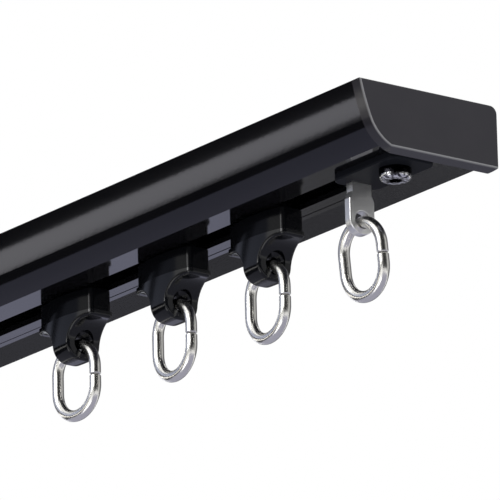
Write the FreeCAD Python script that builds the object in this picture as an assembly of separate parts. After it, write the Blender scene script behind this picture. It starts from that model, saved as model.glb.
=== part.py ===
import FreeCAD, Part
import math
import os

# Curtain track with end caps, clamped end stops, running carriers and split hook rings.
# Millimetres. X runs along the track, towards the end that is seen in the photo.
# Y = 0 is the middle of the slot, -Y is the curved front, and Z = 0 is the ceiling face.

V = FreeCAD.Vector

# Track extrusion
track_length = 493.6
track_height = 14.4
front_reach = 18.25
back_reach = 21.15
wall = 1.3
roof_wall = 1.5
slot_width = 7.1
lip_thickness = 1.4
channel_width = 14.8
chamber_floor = 1.5
back_top_radius = 1.5
back_bottom_radius = 0.8

# Front fascia, two tangent arcs: lean from the vertical at the top edge, turn of the upper arc
# down to where the arcs meet, and lean at the cap's foot
fascia_lean = 12.0
fascia_upper_turn = 10.0
fascia_foot_lean = 77.0
fascia_upper_radius = 54.0

# Underside behind the slot: a witness groove, then a strip that rises to the back edge
witness_groove_from_slot = 3.7
witness_groove_width = 0.4
witness_groove_depth = 0.25
back_lip_width = 5.6
strip_step = 0.1
strip_rise = 0.6

# Clip groove in the back wall
groove_mouth = 3.4
groove_mouth_top = 5.5
groove_pocket_depth = 2.1

# Fixing holes through the roof of the channel
fixing_spacing = 340.0
fixing_hole_radius = 2.2

# End cap
cap_thickness = 3.2
cap_drop = 1.2
cap_bottom_bevel = 0.6
cap_back_overhang = 0.6
cap_back_top_radius = 2.0
cap_back_bottom_radius = 1.0
cap_edge_round = 0.35
plug_length = 8.0
plug_wall = 1.4
plug_fit = 0.15

# Carrier: hanging block, collar and funnel below the slot, in the order from the top down
block_clearance = 0.6
block_length = 21.0
block_width = 9.2
block_height = 5.4
collar_length = 21.9
collar_width = 10.1
collar_height = 1.5
plan_bow_radius = 33.0
plan_corner_radius = 1.3
funnel_radius = 6.0
stem_thickness = 6.3
stem_height = 9.0
stem_corner_radius = 4.0
funnel_edge_round = 0.8
ring_hole_drop = 4.7
ring_hole_clearance = 0.2
ring_hole_mouth = 0.9

# Carrier: neck in the slot and web above it
slot_clearance = 0.5
neck_length = 16.0
neck_top_gap = 0.15
web_length = 11.0
web_width = 4.6
web_head_radius = 3.2

# Wheels and axle
wheel_radius = 4.2
wheel_width = 3.0
wheel_hub_radius = 2.0
wheel_rim_thickness = 0.9
wheel_recess = 0.8
wheel_edge_chamfer = 0.3
wheel_side_gap = 0.3
wheel_lip_gap = 0.05
axle_radius = 1.0
axle_running_clearance = 0.05
axle_fit_clearance = 0.02
axle_head_radius = 1.7
axle_head_length = 0.6
axle_end_play = 0.15

# Split oval ring of round wire, measured at the middle of the wire
wire_radius = 1.4
ring_bend_radius = 6.6
ring_straight = 4.3
ring_gap = 0.3
ring_end_chamfer = 0.2
ring_seat_gap = 0.06

# End stop
stop_cap_gap = 0.2
stop_length = 24.0
stop_width = 13.1
stop_depth = 1.6
stop_corner_radius = 3.0
stop_edge_round = 0.4
stop_boss_clearance = 0.2
stop_boss_inset = 1.5
stop_boss_gap = 0.05
screw_from_cap = 7.9
screw_shank_radius = 1.95
screw_hole_clearance = 0.25
thread_clearance = 0.05
screw_head_radius = 3.8
screw_head_height = 2.8
screw_head_round = 1.0
socket_across_flats = 3.0
socket_depth = 1.7
nut_length = 13.0
nut_thickness = 3.0
nut_side_clearance = 0.5
screw_end_above_nut = 0.6

# Eye plate hanging from the lips through the end stop
plate_from_stop_end = 1.5
plate_thickness = 2.2
plate_pocket_clearance = 0.1
plate_head_width = 9.0
plate_head_height = 1.6
plate_neck_width = 5.5
plate_neck_below_stop = 2.2
plate_flare_height = 1.8
plate_lug_radius = 3.6
plate_lug_drop = 8.85
plate_hole_radius = 2.05
plate_edge_round = 0.3
end_ring_yaw = 3.7
end_ring_swing = 5.5

# Places along the track: the carriers of one half, counted from the outer face of the cap
first_carrier_from_end = 60.5
carrier_steps = (36.6, 39.6)
# How far the ring of each of them has turned in its hole
ring_yaws = (0.0, 0.0, 6.5)

half_track = track_length / 2
half_slot = slot_width / 2
half_channel = channel_width / 2
lip_top = -track_height + lip_thickness
lip_bottom = -track_height
stem_bottom = lip_bottom - block_clearance - block_height - collar_height - stem_height
collar_bottom = stem_bottom + stem_height
collar_top = collar_bottom + collar_height
block_top = lip_bottom - block_clearance
neck_top = lip_top - neck_top_gap
axle_z = lip_top + wheel_lip_gap + wheel_radius
ring_hole_z = collar_bottom - ring_hole_drop
lug_z = lip_bottom - stop_depth - plate_lug_drop
cap_face = half_track + cap_thickness


def lines(points):
    return [Part.LineSegment(a, b).toShape() for a, b in zip(points, points[1:])]


def face_of(edges):
    return Part.Face(Part.Wire(Part.__sortEdges__(edges)))


def polygon_face(points):
    return face_of(lines(points + points[:1]))


def box(x0, x1, y0, y1, z0, z1):
    return Part.makeBox(x1 - x0, y1 - y0, z1 - z0, V(x0, y0, z0))


def edges_where(shape, test):
    return [edge for edge in shape.Edges if test(edge)]


def fascia_arcs(top, bottom, inset):
    """Edges of the front curve between two depths, moved inwards by inset."""
    lean = math.radians(fascia_lean)
    turned = math.radians(fascia_lean + fascia_upper_turn)
    foot = math.radians(fascia_foot_lean)
    upper_y = -front_reach + fascia_upper_radius * math.cos(lean)
    upper_z = fascia_upper_radius * math.sin(lean)
    left_to_fall = track_height + cap_drop - fascia_upper_radius * (math.sin(turned) - math.sin(lean))
    fascia_lower_radius = left_to_fall / (math.sin(foot) - math.sin(turned))
    reach = fascia_upper_radius - fascia_lower_radius
    lower_y = upper_y - reach * math.cos(turned)
    lower_z = upper_z - reach * math.sin(turned)
    upper_radius = fascia_upper_radius - inset
    lower_radius = fascia_lower_radius - inset
    start = math.asin((upper_z + top) / upper_radius)
    end = math.asin((lower_z + bottom) / lower_radius)

    def upper(angle):
        return V(0, upper_y - upper_radius * math.cos(angle), upper_z - upper_radius * math.sin(angle))

    def lower(angle):
        return V(0, lower_y - lower_radius * math.cos(angle), lower_z - lower_radius * math.sin(angle))

    return [
        Part.Arc(upper(start), upper((start + turned) / 2), upper(turned)).toShape(),
        Part.Arc(lower(turned), lower((turned + end) / 2), lower(end)).toShape(),
    ]


def ends_of(arcs):
    return arcs[0].Vertexes[0].Point, arcs[-1].Vertexes[-1].Point


def corner_arc(y, z, radius, y_side, z_side):
    """Round corner at (y, z) whose centre lies towards y_side and z_side."""
    cy = y + y_side * radius
    cz = z + z_side * radius
    slant = radius * math.sqrt(0.5)
    return [V(0, y, cz), V(0, cy - y_side * slant, cz - z_side * slant), V(0, cy, z)]


def track_outline():
    front = fascia_arcs(0, track_height, 0)
    front_top, front_bottom = ends_of(front)
    groove_y = half_slot + witness_groove_from_slot
    half_groove = witness_groove_width / 2
    strip_start = half_slot + back_lip_width
    strip_z = lip_bottom + strip_step
    back_z = strip_z + strip_rise
    inner_back = back_reach - wall
    mouth_bottom = -groove_mouth_top - groove_mouth
    low = corner_arc(back_reach, back_z, back_bottom_radius, -1, 1)
    high = corner_arc(back_reach, 0, back_top_radius, -1, -1)
    underside = [
        front_bottom,
        V(0, -half_slot, lip_bottom), V(0, -half_slot, lip_top), V(0, -half_channel, lip_top),
        V(0, -half_channel, -roof_wall), V(0, half_channel, -roof_wall), V(0, half_channel, lip_top),
        V(0, half_slot, lip_top), V(0, half_slot, lip_bottom),
        V(0, groove_y - half_groove, lip_bottom), V(0, groove_y, lip_bottom + witness_groove_depth),
        V(0, groove_y + half_groove, lip_bottom),
        V(0, strip_start, lip_bottom), V(0, strip_start, strip_z), low[2],
    ]
    back = [
        low[0], V(0, back_reach, mouth_bottom), V(0, inner_back, mouth_bottom),
        V(0, inner_back, back_z + wall), V(0, inner_back - groove_pocket_depth, back_z + wall),
        V(0, inner_back - groove_pocket_depth, -roof_wall), V(0, inner_back, -roof_wall),
        V(0, inner_back, -groove_mouth_top), V(0, back_reach, -groove_mouth_top), high[0],
    ]
    return (
        front + lines(underside) + [Part.Arc(low[2], low[1], low[0]).toShape()] + lines(back)
        + [Part.Arc(high[0], high[1], high[2]).toShape()] + lines([high[2], front_top])
    )


def front_chamber(inset):
    """Section of the hollow between the fascia and the channel, made smaller all round by inset."""
    front = fascia_arcs(roof_wall + inset, track_height - chamber_floor - inset, wall + inset)
    top, bottom = ends_of(front)
    behind = face_of(front + lines([bottom, V(0, back_reach, bottom.z), V(0, back_reach, top.z), top]))
    y = -half_channel - wall - inset
    ahead = polygon_face([
        V(0, -front_reach, 0), V(0, y, 0), V(0, y, -track_height), V(0, -front_reach, -track_height),
    ])
    return behind.common(ahead).Faces[0]


def back_chamber(inset):
    """Section of the hollow between the channel and the clip groove, made smaller all round by inset."""
    near = half_channel + wall + inset
    far = back_reach - 2 * wall - groove_pocket_depth - inset
    top = -roof_wall - inset
    bottom = lip_bottom + strip_step + strip_rise + wall + inset
    return polygon_face([V(0, near, top), V(0, far, top), V(0, far, bottom), V(0, near, bottom)])


def make_track():
    start = V(-half_track, 0, 0)
    run = V(track_length, 0, 0)
    track = face_of(track_outline()).extrude(run)
    for chamber in (front_chamber(0), back_chamber(0)):
        track = track.cut(chamber.extrude(run))
    track.translate(start)
    for side in (-1, 1):
        hole_start = V(side * fixing_spacing / 2, 0, -2 * roof_wall)
        hole = Part.makeCylinder(fixing_hole_radius, 3 * roof_wall, hole_start)
        track = track.cut(hole)
    return track


def make_plug(chamber):
    """Hollow plug that goes into one chamber of the track, pointing to -X."""
    outer = chamber(plug_fit).extrude(V(-plug_length, 0, 0))
    inner = chamber(plug_fit + plug_wall).extrude(V(-plug_length, 0, 0))
    return outer.cut(inner)


def make_cap():
    bottom = track_height + cap_drop
    back = back_reach + cap_back_overhang
    front = fascia_arcs(0, bottom, 0)
    front_top, front_bottom = ends_of(front)
    low = corner_arc(back, -bottom, cap_back_bottom_radius, -1, 1)
    high = corner_arc(back, 0, cap_back_top_radius, -1, -1)
    outline = (
        front + lines([front_bottom, low[2]]) + [Part.Arc(low[2], low[1], low[0]).toShape()]
        + lines([low[0], high[0]]) + [Part.Arc(high[0], high[1], high[2]).toShape()]
        + lines([high[2], front_top])
    )
    plate = face_of(outline).extrude(V(cap_thickness, 0, 0))
    bevel = polygon_face([
        V(0, -front_reach, -bottom), V(cap_thickness, -front_reach, cap_bottom_bevel - bottom),
        V(cap_thickness, -front_reach, -2 * bottom), V(0, -front_reach, -2 * bottom),
    ])
    plate = plate.cut(bevel.extrude(V(0, front_reach + 2 * back, 0)))
    rim = edges_where(plate, lambda e: all(abs(v.X - cap_thickness) < 1e-6 for v in e.Vertexes))
    plate = plate.makeFillet(cap_edge_round, rim)
    cap = plate.fuse([make_plug(front_chamber), make_plug(back_chamber)]).removeSplitter()
    cap.translate(V(half_track, 0, 0))
    return cap


def bowed_plan(length, width, z):
    """Plan outline with long sides that bow outwards and round corners."""
    corner_x = length / 2 - plan_corner_radius
    bow_y = width / 2 - plan_bow_radius
    reach = plan_bow_radius - plan_corner_radius
    corner_y = bow_y + math.sqrt(reach ** 2 - corner_x ** 2)
    turn = math.atan2(corner_x, corner_y - bow_y)
    half_turn = (turn + math.pi / 2) / 2

    def on_corner(sx, sy, angle):
        x = corner_x + plan_corner_radius * math.sin(angle)
        y = corner_y + plan_corner_radius * math.cos(angle)
        return V(sx * x, sy * y, z)

    edges = []
    for side in (-1, 1):
        bow_middle = V(0, side * width / 2, z)
        edges.append(Part.Arc(on_corner(-1, side, turn), bow_middle, on_corner(1, side, turn)).toShape())
        edges += lines([V(side * length / 2, -corner_y, z), V(side * length / 2, corner_y, z)])
        for sy in (-1, 1):
            bend = [on_corner(side, sy, angle) for angle in (turn, half_turn, math.pi / 2)]
            edges.append(Part.Arc(*bend).toShape())
    return face_of(edges)


def make_funnel():
    """Collar that narrows in a hollow curve to the stem, which carries the ring hole."""
    half_collar = collar_length / 2
    half_stem = stem_thickness / 2
    depth = V(0, collar_width, 0)
    flare_end = half_stem + funnel_radius
    slant = funnel_radius * math.sqrt(0.5)
    y = -collar_width / 2
    edges = lines([
        V(-flare_end, y, collar_bottom), V(-half_collar, y, collar_bottom), V(-half_collar, y, collar_top),
        V(half_collar, y, collar_top), V(half_collar, y, collar_bottom), V(flare_end, y, collar_bottom),
    ])
    low = collar_bottom - funnel_radius
    for side in (-1, 1):
        middle = V(side * (flare_end - slant), y, low + slant)
        arc = Part.Arc(V(side * flare_end, y, collar_bottom), middle, V(side * half_stem, y, low))
        edges += [arc.toShape()] + lines([V(side * half_stem, y, low), V(side * half_stem, y, stem_bottom)])
    edges += lines([V(-half_stem, y, stem_bottom), V(half_stem, y, stem_bottom)])
    funnel = face_of(edges).extrude(depth)
    plan = bowed_plan(collar_length, collar_width, stem_bottom).extrude(V(0, 0, collar_top - stem_bottom))
    funnel = funnel.common(plan).removeSplitter()
    at_heel = edges_where(funnel, lambda e: all(abs(v.Z - stem_bottom) < 1e-6 for v in e.Vertexes)
                          and abs(e.CenterOfMass.y) > collar_width / 4)
    funnel = funnel.makeFillet(stem_corner_radius, at_heel)

    def at_foot(edge):
        return all(abs(v.Z - stem_bottom) < 1e-6 and abs(abs(v.X) - half_stem) < 1e-6 for v in edge.Vertexes)

    return funnel.makeFillet(funnel_edge_round, edges_where(funnel, at_foot))


def wire_in_hole(half_length):
    """How far the bent wire's middle and its inner side lie below the top of the wire's middle line."""
    fall = ring_bend_radius - math.sqrt(ring_bend_radius ** 2 - half_length ** 2)
    inner = ring_bend_radius - math.sqrt((ring_bend_radius - wire_radius) ** 2 - half_length ** 2)
    return fall, inner


def carrier_hole_radius():
    fall, inner = wire_in_hole(stem_thickness / 2 - ring_hole_mouth)
    return inner - fall / 2 + ring_hole_clearance


def carrier_ring_top():
    """Height of the wire when it hangs on the lower edges of the hole."""
    inner = wire_in_hole(stem_thickness / 2 - ring_hole_mouth)[1]
    return ring_hole_z - carrier_hole_radius() + inner + ring_seat_gap


def make_carrier():
    block = bowed_plan(block_length, block_width, collar_top).extrude(V(0, 0, block_height))
    neck_width = slot_width - 2 * slot_clearance
    neck = box(-neck_length / 2, neck_length / 2, -neck_width / 2, neck_width / 2, block_top, neck_top)
    neck_corners = edges_where(neck, lambda e: abs(e.tangentAt(0).z) > 0.9)
    neck = neck.makeFillet(neck_width / 2 - slot_clearance, neck_corners)
    side = -web_width / 2
    web = polygon_face([
        V(-web_length / 2, side, neck_top), V(web_length / 2, side, neck_top),
        V(web_head_radius, side, axle_z), V(-web_head_radius, side, axle_z),
    ]).extrude(V(0, web_width, 0))
    head = Part.makeCylinder(web_head_radius, web_width, V(0, side, axle_z), V(0, 1, 0))
    body = block.fuse([make_funnel(), neck, web, head]).removeSplitter()
    bore_start = V(0, -web_width, axle_z)
    bore = Part.makeCylinder(axle_radius + axle_fit_clearance, 2 * web_width, bore_start, V(0, 1, 0))
    hole_radius = carrier_hole_radius()
    half_stem = stem_thickness / 2
    body = body.cut(bore)
    body = body.cut(Part.makeCylinder(hole_radius, stem_thickness, V(-half_stem, 0, ring_hole_z), V(1, 0, 0)))
    for side in (-1, 1):
        out = V(side, 0, 0)
        mouth_start = V(side * (half_stem - ring_hole_mouth), 0, ring_hole_z)
        mouth_radius = hole_radius + ring_hole_mouth
        cone = Part.makeCone(hole_radius, mouth_radius, ring_hole_mouth, mouth_start, out)
        relief = Part.makeCylinder(mouth_radius, stem_thickness, V(side * half_stem, 0, ring_hole_z), out)
        body = body.cut(cone).cut(relief)
    return body


def revolve_about_axle(profile):
    """Turn (radius, y) points about the axle's line."""
    face = polygon_face([V(0, y, axle_z + radius) for radius, y in profile])
    return face.revolve(V(0, 0, axle_z), V(0, 1, 0), 360)


def make_wheel():
    bore = axle_radius + axle_running_clearance
    inner = web_width / 2 + wheel_side_gap
    outer = inner + wheel_width
    rim = wheel_radius - wheel_rim_thickness
    floor = outer - wheel_recess
    return revolve_about_axle([
        (bore, inner), (wheel_radius - wheel_edge_chamfer, inner), (wheel_radius, inner + wheel_edge_chamfer),
        (wheel_radius, outer - wheel_edge_chamfer), (wheel_radius - wheel_edge_chamfer, outer),
        (rim, outer), (rim, floor), (wheel_hub_radius, floor), (wheel_hub_radius, outer), (bore, outer),
    ])


def make_axle():
    head_start = web_width / 2 + wheel_side_gap + wheel_width + axle_end_play
    head_end = head_start + axle_head_length
    return revolve_about_axle([
        (0, -head_end), (axle_head_radius, -head_end), (axle_head_radius, -head_start),
        (axle_radius, -head_start), (axle_radius, head_start), (axle_head_radius, head_start),
        (axle_head_radius, head_end), (0, head_end),
    ])


def make_ring(top):
    """Split oval ring in the XZ plane, with the middle of its wire at height top."""
    r = ring_bend_radius
    high = top - r
    low = high - ring_straight
    limb = (ring_straight - ring_gap) / 2

    def bend(x, z):
        section = Part.Face(Part.Wire(Part.makeCircle(wire_radius, V(x, 0, z), V(0, 0, 1))))
        return section.revolve(V(0, 0, z), V(0, -1, 0), 180)

    ring = bend(r, high).fuse([
        bend(-r, low),
        Part.makeCylinder(wire_radius, ring_straight, V(-r, 0, low)),
        Part.makeCylinder(wire_radius, limb, V(r, 0, low)),
        Part.makeCylinder(wire_radius, limb, V(r, 0, high - limb)),
    ])
    middle = (high + low) / 2

    def at_gap(edge):
        return abs(edge.CenterOfMass.z - middle) < ring_gap and edge.Length > 3 * wire_radius

    return ring.makeChamfer(ring_end_chamfer, edges_where(ring, at_gap))


def make_stop_body():
    """Body of the end stop, from its inner end at X = 0 towards the cap."""
    half = stop_width / 2
    body = box(0, stop_length, -half, half, lip_bottom - stop_depth, lip_bottom)
    body = body.makeFillet(stop_corner_radius, edges_where(body, lambda e: abs(e.tangentAt(0).z) > 0.9))
    low = lip_bottom - stop_depth
    rim = edges_where(body, lambda e: all(abs(v.Z - low) < 1e-6 for v in e.Vertexes))
    body = body.makeFillet(stop_edge_round, rim)
    boss_half = half_slot - stop_boss_clearance
    boss = box(
        stop_boss_inset, stop_length - stop_boss_inset, -boss_half, boss_half,
        lip_bottom, lip_top - stop_boss_gap,
    )
    pocket_half = plate_neck_width / 2 + plate_pocket_clearance
    pocket = box(
        plate_from_stop_end - plate_pocket_clearance,
        plate_from_stop_end + plate_thickness + plate_pocket_clearance,
        -pocket_half, pocket_half, 2 * lip_bottom, 0,
    )
    hole_radius = screw_shank_radius + screw_hole_clearance
    hole_x = stop_length + stop_cap_gap - screw_from_cap
    hole = Part.makeCylinder(hole_radius, track_height, V(hole_x, 0, 2 * lip_bottom))
    hole.translate(V(0, 0, track_height / 2))
    return body.fuse(boss).removeSplitter().cut(pocket).cut(hole)


def make_clamp_nut():
    half_length = nut_length / 2
    half_width = half_channel - nut_side_clearance
    nut = box(-half_length, half_length, -half_width, half_width, lip_top, lip_top + nut_thickness)
    nut = nut.makeFillet(nut_side_clearance, edges_where(nut, lambda e: abs(e.tangentAt(0).z) > 0.9))
    hole_start = V(0, 0, lip_top - nut_thickness / 2)
    hole = Part.makeCylinder(screw_shank_radius + thread_clearance, 2 * nut_thickness, hole_start)
    return nut.cut(hole)


def make_clamp_screw():
    seat = lip_bottom - stop_depth
    face = seat - screw_head_height
    head = Part.makeCylinder(screw_head_radius, screw_head_height, V(0, 0, face))
    rim = edges_where(head, lambda e: abs(e.CenterOfMass.z - face) < 1e-6 and e.Length > screw_head_radius)
    head = head.makeFillet(screw_head_round, rim)
    shank_length = lip_top + nut_thickness + screw_end_above_nut - seat
    shank = Part.makeCylinder(screw_shank_radius, shank_length, V(0, 0, seat))
    across_corners = socket_across_flats / math.cos(math.radians(30)) / 2
    corners = [math.radians(60 * i) for i in range(6)]
    hexagon = [V(across_corners * math.cos(a), across_corners * math.sin(a), face) for a in corners]
    return head.fuse(shank).removeSplitter().cut(polygon_face(hexagon).extrude(V(0, 0, socket_depth)))


def make_eye_plate():
    """Plate with a head on the lips, a neck through the end stop and a lug, from X = 0."""
    half_head = plate_head_width / 2
    half_neck = plate_neck_width / 2
    head_top = lip_top + plate_head_height
    neck_low = lip_bottom - stop_depth - plate_neck_below_stop
    flare_low = neck_low - plate_flare_height
    r = plate_lug_radius
    edges = lines([
        V(0, -r, lug_z), V(0, -r, flare_low), V(0, -half_neck, neck_low), V(0, -half_neck, lip_top),
        V(0, -half_head, lip_top), V(0, -half_head, head_top), V(0, half_head, head_top),
        V(0, half_head, lip_top), V(0, half_neck, lip_top), V(0, half_neck, neck_low),
        V(0, r, flare_low), V(0, r, lug_z),
    ])
    edges.append(Part.Arc(V(0, r, lug_z), V(0, 0, lug_z - r), V(0, -r, lug_z)).toShape())
    plate = face_of(edges).extrude(V(plate_thickness, 0, 0))
    hole_start = V(-plate_thickness, 0, lug_z)
    hole = Part.makeCylinder(plate_hole_radius, 3 * plate_thickness, hole_start, V(1, 0, 0))
    plate = plate.cut(hole)
    below_stop = lip_bottom - stop_depth

    def on_rim(edge):
        flat = abs(edge.tangentAt(edge.FirstParameter).x) < 0.5
        below = edge.CenterOfMass.z < below_stop - 1
        under_head = all(v.Z < lip_top - 0.01 or abs(v.Y) <= half_neck + 0.01 for v in edge.Vertexes)
        return flat and below and under_head

    return plate.makeFillet(plate_edge_round, edges_where(plate, on_rim))


def end_ring_top():
    """Height of the wire when it hangs on the lower edge of the eye plate's hole."""
    return lug_z - plate_hole_radius + wire_in_hole(plate_thickness / 2)[1] + ring_seat_gap


def place_ring(top, hinge_z, yaw, swing):
    """Ring that has turned about the vertical by yaw and swung about its hinge by swing."""
    ring = make_ring(top)
    ring.rotate(V(0, 0, hinge_z), V(1, 0, 0), swing)
    ring.rotate(V(0, 0, 0), V(0, 0, 1), yaw)
    return ring


def build():
    parts = {"track_profile": make_track()}
    stop_end = half_track - stop_cap_gap - stop_length
    screw_x = half_track - screw_from_cap
    plate_x = stop_end + plate_from_stop_end
    ring = place_ring(end_ring_top(), lug_z, end_ring_yaw, end_ring_swing)
    end_pieces = (
        ("end_cap", make_cap(), 0),
        ("stop_body", make_stop_body(), stop_end),
        ("clamp_nut", make_clamp_nut(), screw_x),
        ("clamp_screw", make_clamp_screw(), screw_x),
        ("eye_plate", make_eye_plate(), plate_x),
        ("end_ring", ring, plate_x + plate_thickness / 2),
    )
    for name, shape, x in end_pieces:
        shape.translate(V(x, 0, 0))
        parts[name + "_right"] = shape
        parts[name + "_left"] = shape.mirror(V(0, 0, 0), V(1, 0, 0))

    wheel = make_wheel()
    carrier_pieces = {
        "carrier_body": make_carrier(),
        "carrier_axle": make_axle(),
        "wheel_back": wheel,
        "wheel_front": wheel.mirror(V(0, 0, 0), V(0, 1, 0)),
    }
    count = len(ring_yaws)
    x = cap_face - first_carrier_from_end
    for index, yaw in enumerate(ring_yaws):
        if index:
            x -= carrier_steps[index - 1]
        hook_ring = place_ring(carrier_ring_top(), ring_hole_z, yaw, 0)
        mirrored_ring = hook_ring.mirror(V(0, 0, 0), V(1, 0, 0))
        for number, place, ring in ((2 * count - index, x, hook_ring), (index + 1, -x, mirrored_ring)):
            for name, shape in carrier_pieces.items():
                parts[f"{name}_{number}"] = shape.translated(V(place, 0, 0))
            parts[f"hook_ring_{number}"] = ring.translated(V(place, 0, 0))
    return parts


os.makedirs("parts", exist_ok=True)
for node, solid in build().items():
    bounds = solid.BoundBox
    print(node, solid.isValid(), len(solid.Solids), round(solid.Volume, 1), bounds)
    solid.exportStep("parts/" + node + ".step")
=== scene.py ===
import math

import bpy
from mathutils import Matrix, Vector

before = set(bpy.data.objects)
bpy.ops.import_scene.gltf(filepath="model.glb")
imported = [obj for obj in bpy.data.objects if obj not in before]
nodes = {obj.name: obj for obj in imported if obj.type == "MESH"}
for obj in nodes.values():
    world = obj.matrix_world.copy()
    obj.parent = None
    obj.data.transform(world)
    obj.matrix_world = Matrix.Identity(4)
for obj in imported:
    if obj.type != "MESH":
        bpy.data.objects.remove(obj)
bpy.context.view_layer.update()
scene = bpy.context.scene
print("curtain track: frame loaded,", len(nodes), "nodes")


# The camera of the photo, in metres in the track's own frame. Lens and sensor are in millimetres.
photoCamera = {
    "place": (1.786, -1.22605, -0.6497),
    "right": (0.6015, 0.7985, -0.0238),
    "up": (0.2514, -0.1609, 0.9544),
    "back": (0.7583, -0.5800, -0.2975),
    "lens": 648.0,
    "sensor": 36.0,
    "clipEnd": 50.0,
}


def addCamera():
    bpy.ops.object.select_all(action="DESELECT")
    bpy.ops.object.camera_add()
    camera = bpy.context.object
    camera.name = "photoView"
    axes = Matrix((photoCamera["right"], photoCamera["up"], photoCamera["back"])).transposed()
    turn = axes.to_quaternion().to_matrix().to_4x4()
    camera.matrix_world = Matrix.Translation(photoCamera["place"]) @ turn
    camera.data.sensor_width = photoCamera["sensor"]
    camera.data.lens = photoCamera["lens"]
    camera.data.clip_end = photoCamera["clipEnd"]
    scene.camera = camera


class Wire:
    # a node tree's socket that can be used in sums
    def __init__(self, tree, socket=None):
        self.tree = tree
        self.socket = socket

    def add(self, kind, settings=None, sockets=None, output=0):
        node = self.tree.nodes.new(kind)
        for name, value in (settings or {}).items():
            if name == "stops":
                ramp = node.color_ramp
                while len(ramp.elements) < len(value):
                    ramp.elements.new(0.5)
                for element, (position, level) in zip(ramp.elements, value):
                    element.position = position
                    element.color = (level, level, level, 1.0)
            else:
                setattr(node, name, value)
        for name, value in (sockets or {}).items():
            if isinstance(value, Wire):
                self.tree.links.new(value.socket, node.inputs[name])
            else:
                node.inputs[name].default_value = value
        return Wire(self.tree, node.outputs[output])

    def sum(self, operation, first, second):
        return self.add("ShaderNodeMath", {"operation": operation}, {0: first, 1: second})

    def __add__(self, other):
        return self.sum("ADD", self, other)

    def __radd__(self, other):
        return self.sum("ADD", other, self)

    def __sub__(self, other):
        return self.sum("SUBTRACT", self, other)

    def __rsub__(self, other):
        return self.sum("SUBTRACT", other, self)

    def __mul__(self, other):
        return self.sum("MULTIPLY", self, other)

    def __rmul__(self, other):
        return self.sum("MULTIPLY", other, self)


def startMaterial(name):
    material = bpy.data.materials.new(name)
    material.use_nodes = True
    tree = material.node_tree
    tree.nodes.clear()
    return material, Wire(tree)


def showSurface(wire, shader, kind="ShaderNodeOutputMaterial"):
    output = wire.tree.nodes.new(kind)
    wire.tree.links.new(shader.socket, output.inputs["Surface"])


def finishMaterial(wire, fixed, varying):
    # fixed numbers sit on the shader, and only varying ones are linked
    showSurface(wire, wire.add("ShaderNodeBsdfPrincipled", sockets={**fixed, **varying}))


def placeOn(wire):
    return wire.add("ShaderNodeTexCoord", output="Object")


def axesOf(wire, place):
    # the X, Y and Z of a place
    split = wire.tree.nodes.new("ShaderNodeSeparateXYZ")
    wire.tree.links.new(place.socket, split.inputs[0])
    return [Wire(wire.tree, split.outputs[name]) for name in ("X", "Y", "Z")]


# How fine the noises are, and the level that they vary about.
softDetail = 2.0
grainDetail = 3.0
cloudDetail = 4.0
noiseMiddle = 0.5


def noise(wire, place, scale, detail, roughness=0.5, stretch=(1.0, 1.0, 1.0)):
    # noise in metres, with its own stretch along each axis
    spot = wire.add("ShaderNodeMapping", {}, {"Vector": place, "Scale": stretch})
    sockets = {"Vector": spot, "Scale": scale, "Detail": detail, "Roughness": roughness}
    return wire.add("ShaderNodeTexNoise", {}, sockets)


def bumpFrom(wire, height, strength, depth):
    return wire.add("ShaderNodeBump", {}, {"Strength": strength, "Distance": depth, "Height": height})


def mixColor(wire, factor, first, second):
    node = wire.tree.nodes.new("ShaderNodeMix")
    node.data_type = "RGBA"
    wire.tree.links.new(factor.socket, node.inputs[0])
    for entry, color in ((node.inputs[6], first), (node.inputs[7], second)):
        if isinstance(color, Wire):
            wire.tree.links.new(color.socket, entry)
        else:
            entry.default_value = (*color, 1.0)
    return Wire(wire.tree, node.outputs[2])


# Gloss black, with a bluish tint to what it mirrors. Faint lines run along the extrusion.
trackFinish = {
    "color": (0.0032, 0.0032, 0.0042),
    "dustColor": (0.006, 0.006, 0.0072),
    "sheen": (0.82, 0.84, 1.0),
    "ior": 1.5,
    "roughness": 0.085,
    "roughnessSpread": 0.02,
    "lineScale": 26.0,
    "lineStretch": (0.6, 60.0, 60.0),
    "cloudScale": 30.0,
    "cloudStretch": (1.0, 3.0, 3.0),
    "grainScale": 900.0,
    "grainStrength": 0.02,
    "grainDepth": 0.0002,
}


def makeTrackFinish():
    values = trackFinish
    material, wire = startMaterial("blackLacquer")
    place = placeOn(wire)
    lines = noise(wire, place, values["lineScale"], softDetail, stretch=values["lineStretch"])
    cloud = noise(wire, place, values["cloudScale"], cloudDetail, stretch=values["cloudStretch"])
    grain = noise(wire, place, values["grainScale"], softDetail)
    roughness = values["roughness"] + values["roughnessSpread"] * (lines + cloud - 2.0 * noiseMiddle)
    color = mixColor(wire, cloud, values["color"], values["dustColor"])
    bump = bumpFrom(wire, grain, values["grainStrength"], values["grainDepth"])
    fixed = {"IOR": values["ior"], "Specular Tint": (*values["sheen"], 1.0)}
    finishMaterial(wire, fixed, {"Base Color": color, "Roughness": roughness, "Normal": bump})
    return material


# The cap follows the fascia: two tangent arcs, with their leans from the vertical in degrees.
# Its outer edges carry a painted highlight: a pale line painted along them. Lengths are in metres.
capFinish = {
    "color": (0.0185, 0.018, 0.0235),
    "paleColor": (0.026, 0.0245, 0.030),
    "paintedHighlightColor": (0.22, 0.22, 0.23),
    "ior": 1.46,
    "roughness": 0.20,
    "roughnessSpread": 0.10,
    "cloudScale": 120.0,
    "grainScale": 1400.0,
    "grainStrength": 0.10,
    "grainDepth": 0.0001,
    "frontReach": 0.01825,
    "topLean": 12.0,
    "middleLean": 22.0,
    "footLean": 77.0,
    "upperRadius": 0.054,
    "bottomBevel": 0.0006,
    # the colour, width and depth of the painted highlight along the cap's edges
    "highlightWidth": 0.00034,
    "highlightDepth": 0.00051,
}


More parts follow.
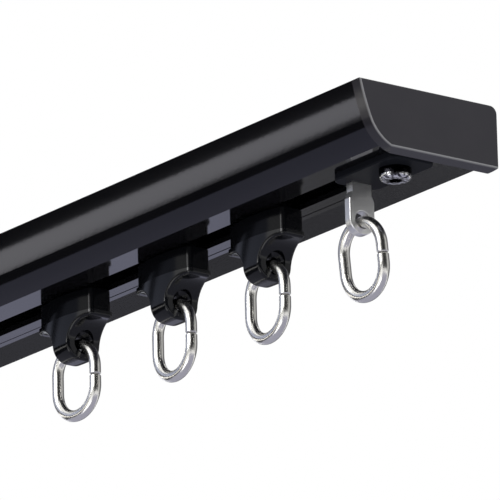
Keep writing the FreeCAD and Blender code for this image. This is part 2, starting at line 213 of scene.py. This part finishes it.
def frontCurve():
    # the centres (Y, Z) and radii of the cap's two front arcs, the height at which they meet,
    # and where they end
    leans = [math.radians(capFinish[name]) for name in ("topLean", "middleLean", "footLean")]
    top, middle, foot = leans
    upper = capFinish["upperRadius"]
    upperY = -capFinish["frontReach"] + upper * math.cos(top)
    upperZ = upper * math.sin(top)
    meeting = upperZ - upper * math.sin(middle)
    capBottom = min(corner[2] for corner in nodes["end_cap_right"].bound_box)
    lower = (meeting - capBottom) / (math.sin(foot) - math.sin(middle))
    lowerY = upperY - (upper - lower) * math.cos(middle)
    lowerZ = upperZ - (upper - lower) * math.sin(middle)
    footY = lowerY - lower * math.cos(foot)
    return (upperY, upperZ, upper), (lowerY, lowerZ, lower), meeting, footY, capBottom


def highlightedEdges(wire, place):
    # where the painted highlight goes: 1 along the front curve and the bottom edge of the cap's outer
    # face, and 0 elsewhere
    upper, lower, meeting, footY, capBottom = frontCurve()
    capFace = max(corner[0] for corner in nodes["end_cap_right"].bound_box)
    x, y, z = axesOf(wire, place)
    section = wire.add("ShaderNodeCombineXYZ", {}, {"X": 0.0, "Y": y, "Z": z})

    def inset(arc):
        spot = {0: section, 1: (0.0, arc[0], arc[1])}
        return arc[2] - wire.add("ShaderNodeVectorMath", {"operation": "DISTANCE"}, spot, output=1)

    isUpper = wire.sum("GREATER_THAN", z, meeting)
    isBehind = wire.sum("GREATER_THAN", y, footY)
    fromFront = inset(upper) * isUpper + inset(lower) * (1.0 - isUpper) + isBehind
    fromBottom = z - (capBottom + capFinish["bottomBevel"])
    fromEdge = wire.sum("MINIMUM", fromFront, wire.sum("ABSOLUTE", fromBottom, 0.0))
    isEdge = wire.sum("GREATER_THAN", 1.0, fromEdge * (1.0 / capFinish["highlightWidth"]))
    fromFace = capFace - wire.sum("ABSOLUTE", x, 0.0)
    fade = {
        "Value": fromFace,
        "From Min": capFinish["highlightDepth"], "From Max": 0.0,
        "To Min": 0.0, "To Max": 1.0,
    }
    return isEdge * wire.add("ShaderNodeMapRange", {"clamp": True}, fade)


def makeCapFinish():
    values = capFinish
    material, wire = startMaterial("texturedCap")
    place = placeOn(wire)
    grain = noise(wire, place, values["grainScale"], grainDetail)
    cloud = noise(wire, place, values["cloudScale"], cloudDetail)
    plain = mixColor(wire, cloud, values["color"], values["paleColor"])
    # the pale colour along the edges is a painted highlight of the rounded rim
    color = mixColor(wire, highlightedEdges(wire, place), plain, values["paintedHighlightColor"])
    roughness = values["roughness"] + values["roughnessSpread"] * (cloud - noiseMiddle)
    bump = bumpFrom(wire, grain, values["grainStrength"], values["grainDepth"])
    varying = {"Base Color": color, "Roughness": roughness, "Normal": bump}
    finishMaterial(wire, {"IOR": values["ior"]}, varying)
    return material


# Black nylon. A carrier's block is dull, and its collar and funnel below are polished.
# blockBottom is where they meet, in metres from the ceiling face. bareShine is the share of a
# plain plastic's reflection that is left under the gloss.
nylonFinish = {
    "color": (0.0024, 0.0026, 0.0034),
    "paleColor": (0.0042, 0.0046, 0.0062),
    "cloudScale": 90.0,
    "ior": 1.5,
    "blockBottom": -0.0204,
    "bareShine": 0.08,
    "blockGloss": 0.15,
    "funnelGloss": 0.62,
    "glossRoughness": 0.13,
    "roughness": 0.14,
    "rippleScale": 260.0,
    "rippleStrength": 0.10,
    "rippleDepth": 0.0002,
}
plainSpecular = 0.5  # the shader's specular level for a plain plastic


def makeCarrierFinish():
    values = nylonFinish
    material, wire = startMaterial("carrierNylon")
    place = placeOn(wire)
    ripple = noise(wire, place, values["rippleScale"], softDetail)
    cloud = noise(wire, place, values["cloudScale"], cloudDetail)
    color = mixColor(wire, cloud, values["color"], values["paleColor"])
    isBlock = wire.sum("GREATER_THAN", axesOf(wire, place)[2], values["blockBottom"])
    gloss = values["funnelGloss"] + (values["blockGloss"] - values["funnelGloss"]) * isBlock
    bump = bumpFrom(wire, ripple, values["rippleStrength"], values["rippleDepth"])
    fixed = {
        "IOR": values["ior"],
        "Specular IOR Level": plainSpecular * values["bareShine"],
        "Roughness": values["roughness"],
        "Coat IOR": values["ior"],
        "Coat Roughness": values["glossRoughness"],
    }
    finishMaterial(wire, fixed, {"Base Color": color, "Coat Weight": gloss, "Normal": bump})
    return material


# The same nylon on the other pieces: tone multiplies its colours, and shine its reflection.
plainNylons = {
    "wheelNylon": {"tone": 1.0, "shine": 1.0, "roughness": 0.40, "roughnessSpread": 0.08},
    "dullNylon": {"tone": 3.0, "shine": 0.03, "roughness": 0.30, "roughnessSpread": 0.08},
}


def makeNylonFinish(name):
    values = plainNylons[name]
    material, wire = startMaterial(name)
    cloud = noise(wire, placeOn(wire), nylonFinish["cloudScale"], cloudDetail)
    dark, pale = [
        [values["tone"] * level for level in nylonFinish[part]] for part in ("color", "paleColor")
    ]
    color = mixColor(wire, cloud, dark, pale)
    roughness = values["roughness"] + values["roughnessSpread"] * (cloud - noiseMiddle)
    fixed = {"IOR": nylonFinish["ior"], "Specular IOR Level": plainSpecular * values["shine"]}
    finishMaterial(wire, fixed, {"Base Color": color, "Roughness": roughness})
    return material


metals = {
    "ringChrome": {
        "color": (0.88, 0.865, 0.82), "paleColor": (0.95, 0.935, 0.89),
        "roughness": 0.23, "roughnessSpread": 0.03, "grainScale": 400.0, "grainStrength": 0.003,
    },
    "zincPlate": {
        "color": (0.84, 0.84, 0.83), "paleColor": (0.92, 0.92, 0.91),
        "roughness": 0.34, "roughnessSpread": 0.14, "grainScale": 2600.0, "grainStrength": 0.25,
    },
    "axleSteel": {
        "color": (0.50, 0.50, 0.50), "paleColor": (0.58, 0.58, 0.58),
        "roughness": 0.28, "roughnessSpread": 0.10, "grainScale": 2000.0, "grainStrength": 0.15,
    },
}
metalCloudScale = 180.0
metalGrainDepth = 0.0001


def makeMetalFinish(name):
    values = metals[name]
    material, wire = startMaterial(name)
    place = placeOn(wire)
    cloud = noise(wire, place, metalCloudScale, cloudDetail)
    grain = noise(wire, place, values["grainScale"], grainDetail)
    color = mixColor(wire, cloud, values["color"], values["paleColor"])
    roughness = values["roughness"] + values["roughnessSpread"] * (cloud - noiseMiddle)
    bump = bumpFrom(wire, grain, values["grainStrength"], metalGrainDepth)
    varying = {"Base Color": color, "Roughness": roughness, "Normal": bump}
    finishMaterial(wire, {"Metallic": 1.0}, varying)
    return material


# A head whose side is painted dark, a painted dark reflection, and whose face is streaked bright and
# dark. faceDepth is how far up the head, in metres, the face's finish reaches.
screwFinish = {
    "faceColor": (0.86, 0.86, 0.87),
    "darkStreakColor": (0.05, 0.05, 0.055),
    # a painted dark reflection on the head's side
    "sideDarkReflectionColor": (0.010, 0.010, 0.012),
    "faceDepth": 0.0011,
    "roughness": 0.16,
    "streakScale": 900.0,
    "streakRoughness": 0.6,
    "streakStretch": (1.6, 0.7, 1.0),
    "streakStops": [(0.44, 0.0), (0.56, 1.0)],
    "streakStrength": 0.5,
    "streakDepth": 0.0003,
}


def makeScrewFinish():
    values = screwFinish
    material, wire = startMaterial("streakedScrew")
    place = placeOn(wire)
    headLow = min(corner[2] for corner in nodes["clamp_screw_right"].bound_box)
    stretch = values["streakStretch"]
    streaks = noise(wire, place, values["streakScale"], softDetail, values["streakRoughness"], stretch)
    bright = wire.add("ShaderNodeValToRGB", {"stops": values["streakStops"]}, {"Fac": streaks})
    # the face is streaked between bright and dark metal
    face = mixColor(wire, bright, values["darkStreakColor"], values["faceColor"])
    isSide = wire.sum("GREATER_THAN", axesOf(wire, place)[2], headLow + values["faceDepth"])
    # above the face, the head's side is painted dark: a painted dark reflection
    color = mixColor(wire, isSide, face, values["sideDarkReflectionColor"])
    bump = bumpFrom(wire, streaks, values["streakStrength"], values["streakDepth"])
    fixed = {"Metallic": 1.0, "Roughness": values["roughness"]}
    finishMaterial(wire, fixed, {"Base Color": color, "Normal": bump})
    return material


def dressNodes():
    # each finish goes to the nodes whose names start with its key
    dullNylon = makeNylonFinish("dullNylon")
    ringChrome = makeMetalFinish("ringChrome")
    zincPlate = makeMetalFinish("zincPlate")
    finishes = {
        "track_profile": makeTrackFinish(),
        "end_cap": makeCapFinish(),
        "stop_body": dullNylon,
        "clamp_nut": zincPlate,
        "clamp_screw": makeScrewFinish(),
        "eye_plate": zincPlate,
        "end_ring": ringChrome,
        "carrier_body": makeCarrierFinish(),
        "carrier_axle": makeMetalFinish("axleSteel"),
        "wheel": makeNylonFinish("wheelNylon"),
        "hook_ring": ringChrome,
    }
    for name, node in nodes.items():
        finish = next(made for start, made in finishes.items() if name.startswith(start))
        node.data.materials.clear()
        node.data.materials.append(finish)


# Lengths are in metres. The cards and the lamp are placed round the centre.
studio = {
    "centre": (0.1, 0.0, -0.02),
    "worldLight": 0.75,
    "floorDepth": -2.6,
    "floorSize": 40.0,
    "floorColor": (0.90, 0.90, 0.90, 1.0),
    "floorGlow": 0.25,
}
white = (1.0, 1.0, 1.0, 1.0)


def shownRays(wire):
    # 1 for the rays that show a background: straight to the camera, mirrored or through glass
    rays = wire.tree.nodes.new("ShaderNodeLightPath")
    kinds = ("Is Camera Ray", "Is Glossy Ray", "Is Transmission Ray")
    camera, glossy, through = [Wire(wire.tree, rays.outputs[name]) for name in kinds]
    return wire.sum("MAXIMUM", wire.sum("MAXIMUM", camera, glossy), through)


def makeWorld():
    world = bpy.data.worlds.new("studioWorld")
    scene.world = world
    world.use_nodes = True
    world.node_tree.nodes.clear()
    wire = Wire(world.node_tree)
    strength = studio["worldLight"] + (1.0 - studio["worldLight"]) * shownRays(wire)
    light = wire.add("ShaderNodeBackground", {}, {"Color": white, "Strength": strength})
    showSurface(wire, light, "ShaderNodeOutputWorld")


def makeFloor():
    # pale from above and clear from below, so that a view up at the track sees past it
    bpy.ops.object.select_all(action="DESELECT")
    place = (0.0, 0.0, studio["floorDepth"])
    bpy.ops.mesh.primitive_plane_add(size=studio["floorSize"], location=place)
    floor = bpy.context.object
    floor.name = "studioFloor"
    material, wire = startMaterial("paleFloor")
    glow = studio["floorGlow"] * shownRays(wire)
    paint = wire.add("ShaderNodeBsdfDiffuse", {}, {"Color": studio["floorColor"]})
    light = wire.add("ShaderNodeEmission", {}, {"Color": white, "Strength": glow})
    above = wire.add("ShaderNodeAddShader", {}, {0: paint, 1: light})
    clear = wire.add("ShaderNodeBsdfTransparent")
    fromBelow = wire.add("ShaderNodeNewGeometry", output="Backfacing")
    showSurface(wire, wire.add("ShaderNodeMixShader", {}, {0: fromBelow, 1: above, 2: clear}))
    floor.data.materials.append(material)


def aim(place, target):
    # a turn that faces the target from the place
    return (Vector(place) - Vector(target)).to_track_quat("Z", "Y").to_matrix().to_4x4()


def around(heading, rise, distance):
    # the place that is seen from the studio's centre at a heading and a rise, both in degrees
    turn = math.radians(heading)
    lift = math.radians(rise)
    flat = Vector((math.cos(turn), math.sin(turn), 0.0))
    up = Vector((0.0, 0.0, 1.0))
    return Vector(studio["centre"]) + distance * (flat * math.cos(lift) + up * math.sin(lift))


def addCard(name, place, target, width, height, glow):
    # a card that only reflections see: black where its glow is 0, and a soft light where it isn't
    bpy.ops.object.select_all(action="DESELECT")
    bpy.ops.mesh.primitive_plane_add(size=1.0)
    card = bpy.context.object
    card.name = name
    size = Matrix.Diagonal((width, height, 1.0, 1.0))
    card.matrix_world = Matrix.Translation(place) @ aim(place, target) @ size
    bpy.ops.object.transform_apply(location=True, rotation=True, scale=True)
    material, wire = startMaterial(name)
    showSurface(wire, wire.add("ShaderNodeEmission", {}, {"Color": (*glow, 1.0), "Strength": 1.0}))
    card.data.materials.append(material)
    card.visible_camera = False
    card.visible_diffuse = False
    card.visible_shadow = False


# A card's headings and rises are where its edges are seen from the studio's centre, in degrees.
# Heading 0 is +X and -90 is straight in front. Then come its distance in metres and its glow.
cards = {
    # what the curved front mirrors
    "leftPale": ((-207, -174), (-12, 36), 2.8, (1.0, 1.02, 1.12)),
    "frontDim": ((-174, -120), (9, 40), 3.2, (0.40, 0.43, 0.55)),
    "frontSoft": ((-120, -102), (9, 34), 3.2, (1.25, 1.25, 1.25)),
    "frontHot": ((-102, -80), (9, 34), 3.2, (8.0, 8.0, 8.0)),
    "frontEnd": ((-80, -55), (9, 34), 3.2, (1.25, 1.25, 1.25)),
    "frontDark": ((-185, -55), (-2.6, 9), 3.1, (0.0, 0.0, 0.0)),
    "frontStrip": ((-180, -100), (-8.2, -2.6), 2.9, (2.05, 2.0, 1.92)),
    "lowDark": ((-182, -95), (-24.3, -8.2), 2.5, (0.0, 0.0, 0.0)),
    # what the slot's lips mirror, darker beside the end stop
    "lipDark": ((112, 141.4), (-21, -15.5), 3.0, (0.17, 0.17, 0.17)),
    "lipBlue": ((141.4, 176), (-21, -15.5), 3.0, (0.55, 0.56, 0.72)),
    # what the near cap, the eye plates and the rings mirror, from the camera's side round the back
    "cameraDark": ((-55, 3), (-12, 48), 3.3, (0.02, 0.02, 0.02)),
    "rearDark": ((3, 24), (-12, 48), 3.3, (0.07, 0.07, 0.07)),
    "rearGrey": ((24, 62), (-12, 48), 3.3, (0.50, 0.50, 0.50)),
    "rearDim": ((62, 93), (-12, 48), 3.3, (0.16, 0.16, 0.17)),
    "farDark": ((93, 213), (-15.5, 40), 3.4, (0.10, 0.10, 0.11)),
}
# A wide card is a few narrow ones side by side, so that its ends are seen no lower than its middle.
stripSpan = 40.0
stripOverlap = 0.01


def addStandingCard(name):
    (left, right), (low, high), distance, glow = cards[name]
    bottom = distance * math.tan(math.radians(low))
    top = distance * math.tan(math.radians(high))
    strips = max(1, round((right - left) / stripSpan))
    step = (right - left) / strips
    width = 2.0 * distance * math.tan(math.radians(step / 2)) + stripOverlap
    for number in range(strips):
        heading = left + step * (number + 0.5)
        place = around(heading, 0.0, distance) + Vector((0.0, 0.0, (bottom + top) / 2))
        level = (*studio["centre"][:2], place.z)
        addCard(f"{name}{number + 1}", place, level, width, top - bottom, glow)


# The cards that lie flat below the track, with their depth from the ceiling face.
lowCard = {"depth": -1.15, "size": 5.1, "glow": (0.34, 0.34, 0.42)}
frontLow = {
    "heading": -78, "distance": 1.9, "depth": -1.12,
    "width": 1.3, "length": 1.6, "glow": (2.2, 2.2, 2.2),
}
# A narrow black flag close in front of the track. The carriers' blocks mirror it instead of the
# bright cards behind it.
blockFlag = {
    "middle": (-0.1, -0.060, 0.0117),
    "length": 0.8, "height": 0.0088, "glow": (0.0, 0.0, 0.0),
}
keyLamp = {"heading": -26.6, "rise": 20.0, "distance": 2.0, "size": 0.7, "power": 14.0}


def addLowCards():
    centre = studio["centre"]
    place = (*centre[:2], lowCard["depth"])
    addCard("lowCard", place, centre, lowCard["size"], lowCard["size"], lowCard["glow"])
    place = around(frontLow["heading"], 0.0, frontLow["distance"])
    place.z = frontLow["depth"]
    below = place - Vector((0.0, 0.0, 1.0))
    addCard("frontLow", place, below, frontLow["width"], frontLow["length"], frontLow["glow"])


def addFlag():
    place = Vector(blockFlag["middle"])
    track = place + Vector((0.0, 1.0, 0.0))
    addCard("blockFlag", place, track, blockFlag["length"], blockFlag["height"], blockFlag["glow"])


def addKeyLamp():
    bpy.ops.object.select_all(action="DESELECT")
    bpy.ops.object.light_add(type="AREA")
    lamp = bpy.context.object
    lamp.name = "keyLamp"
    lamp.data.shape = "RECTANGLE"
    lamp.data.size = keyLamp["size"]
    lamp.data.size_y = keyLamp["size"]
    lamp.data.energy = keyLamp["power"]
    place = around(keyLamp["heading"], keyLamp["rise"], keyLamp["distance"])
    lamp.matrix_world = Matrix.Translation(place) @ aim(place, studio["centre"])
    lamp.visible_glossy = False


addCamera()
makeWorld()
makeFloor()
for name in cards:
    addStandingCard(name)
addLowCards()
addFlag()
addKeyLamp()
print("curtain track: camera, floor and lights placed")
dressNodes()
print("curtain track: finishes on")

scene.view_settings.view_transform = "Standard"
print("curtain track: finished")
